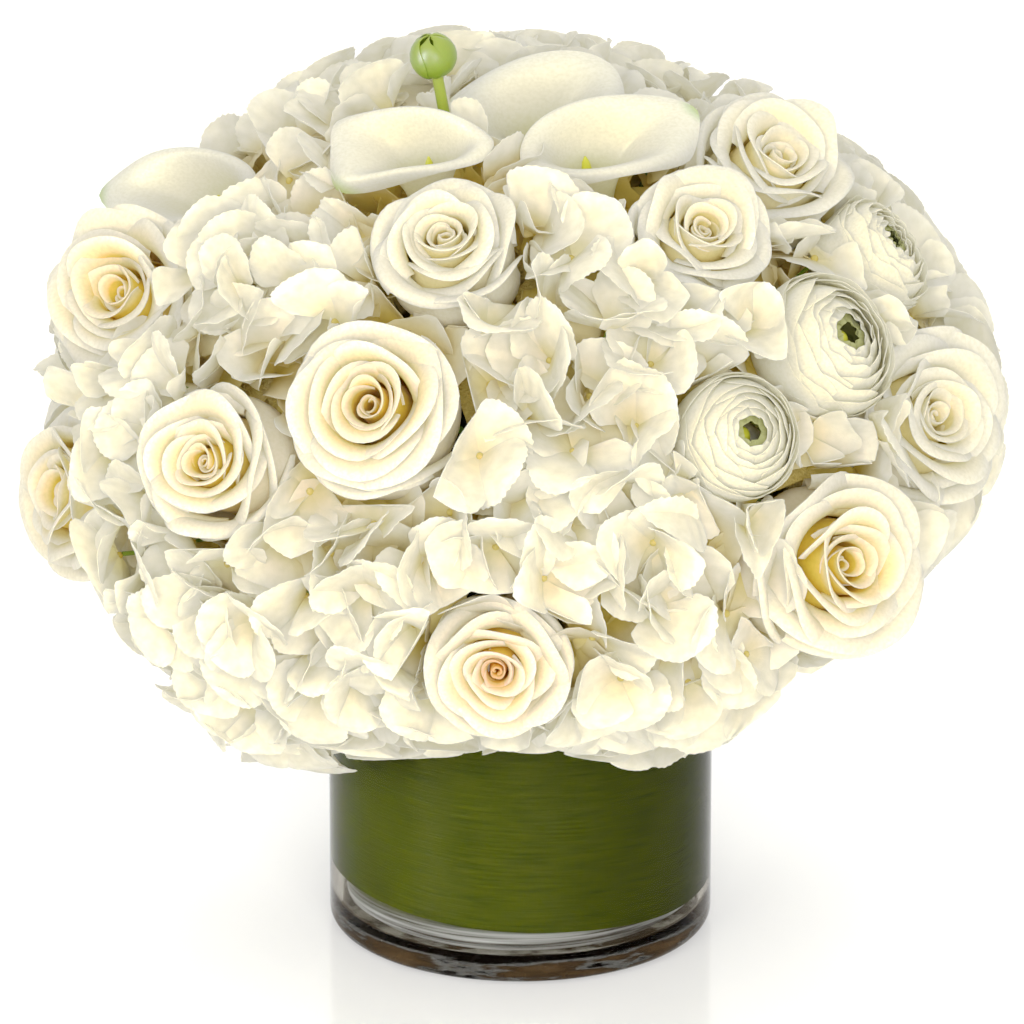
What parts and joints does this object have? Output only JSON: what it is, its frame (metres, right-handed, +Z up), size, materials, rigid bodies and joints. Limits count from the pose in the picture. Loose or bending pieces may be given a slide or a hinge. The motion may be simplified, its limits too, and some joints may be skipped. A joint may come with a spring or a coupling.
{
  "type": "floral table centerpiece",
  "caption": "Low dome of white roses, hydrangeas, ranunculus and calla lilies in a clear glass cylinder vase lined with a green leaf.",
  "frame": {"origin": "centre of the vase's flat underside", "axes": "+Z up along the vase's axis; -Y is the front that the picture shows; +X to the right seen from the front"},
  "size_m": [0.3823, 0.3724, 0.3734],
  "materials": {
    "glass": "gloss",
    "leaf": "satin",
    "foam": "matte",
    "rose_petals": "matte",
    "ranunculus_petals": "matte",
    "calla_spathe": "satin",
    "hydrangea_petals": "matte",
    "stem": "satin",
    "bud": "satin"
  },
  "bodies": {
    "root": {"vase": "glass", "vase_leaf": "leaf", "foam": "foam", "rose_1": "rose_petals", "rose_1_stem": "stem", "rose_2": "rose_petals", "rose_2_stem": "stem", "rose_3": "rose_petals", "rose_3_stem": "stem", "rose_4": "rose_petals", "rose_4_stem": "stem", "rose_5": "rose_petals", "rose_5_stem": "stem", "rose_6": "rose_petals", "rose_6_stem": "stem", "rose_7": "rose_petals", "rose_7_stem": "stem", "rose_8": "rose_petals", "rose_8_stem": "stem", "rose_9": "rose_petals", "rose_9_stem": "stem", "rose_10": "rose_petals", "rose_10_stem": "stem", "rose_11": "rose_petals", "rose_11_stem": "stem", "rose_12": "rose_petals", "rose_12_stem": "stem", "ranunculus_1": "ranunculus_petals", "ranunculus_1_stem": "stem", "ranunculus_2": "ranunculus_petals", "ranunculus_2_stem": "stem", "ranunculus_3": "ranunculus_petals", "ranunculus_3_stem": "stem", "ranunculus_4": "ranunculus_petals", "ranunculus_4_stem": "stem", "calla_1": "calla_spathe", "calla_1_stem": "stem", "calla_2": "calla_spathe", "calla_2_stem": "stem", "calla_3": "calla_spathe", "calla_3_stem": "stem", "calla_4": "calla_spathe", "calla_4_stem": "stem", "hydrangea_1": "hydrangea_petals", "hydrangea_1_stem": "stem", "hydrangea_2": "hydrangea_petals", "hydrangea_2_stem": "stem", "hydrangea_3": "hydrangea_petals", "hydrangea_3_stem": "stem", "hydrangea_4": "hydrangea_petals", "hydrangea_4_stem": "stem", "hydrangea_5": "hydrangea_petals", "hydrangea_5_stem": "stem", "hydrangea_6": "hydrangea_petals", "hydrangea_6_stem": "stem", "hydrangea_7": "hydrangea_petals", "hydrangea_7_stem": "stem", "hydrangea_8": "hydrangea_petals", "hydrangea_8_stem": "stem", "ranunculus_bud": "bud"}
  },
  "joints": []
}
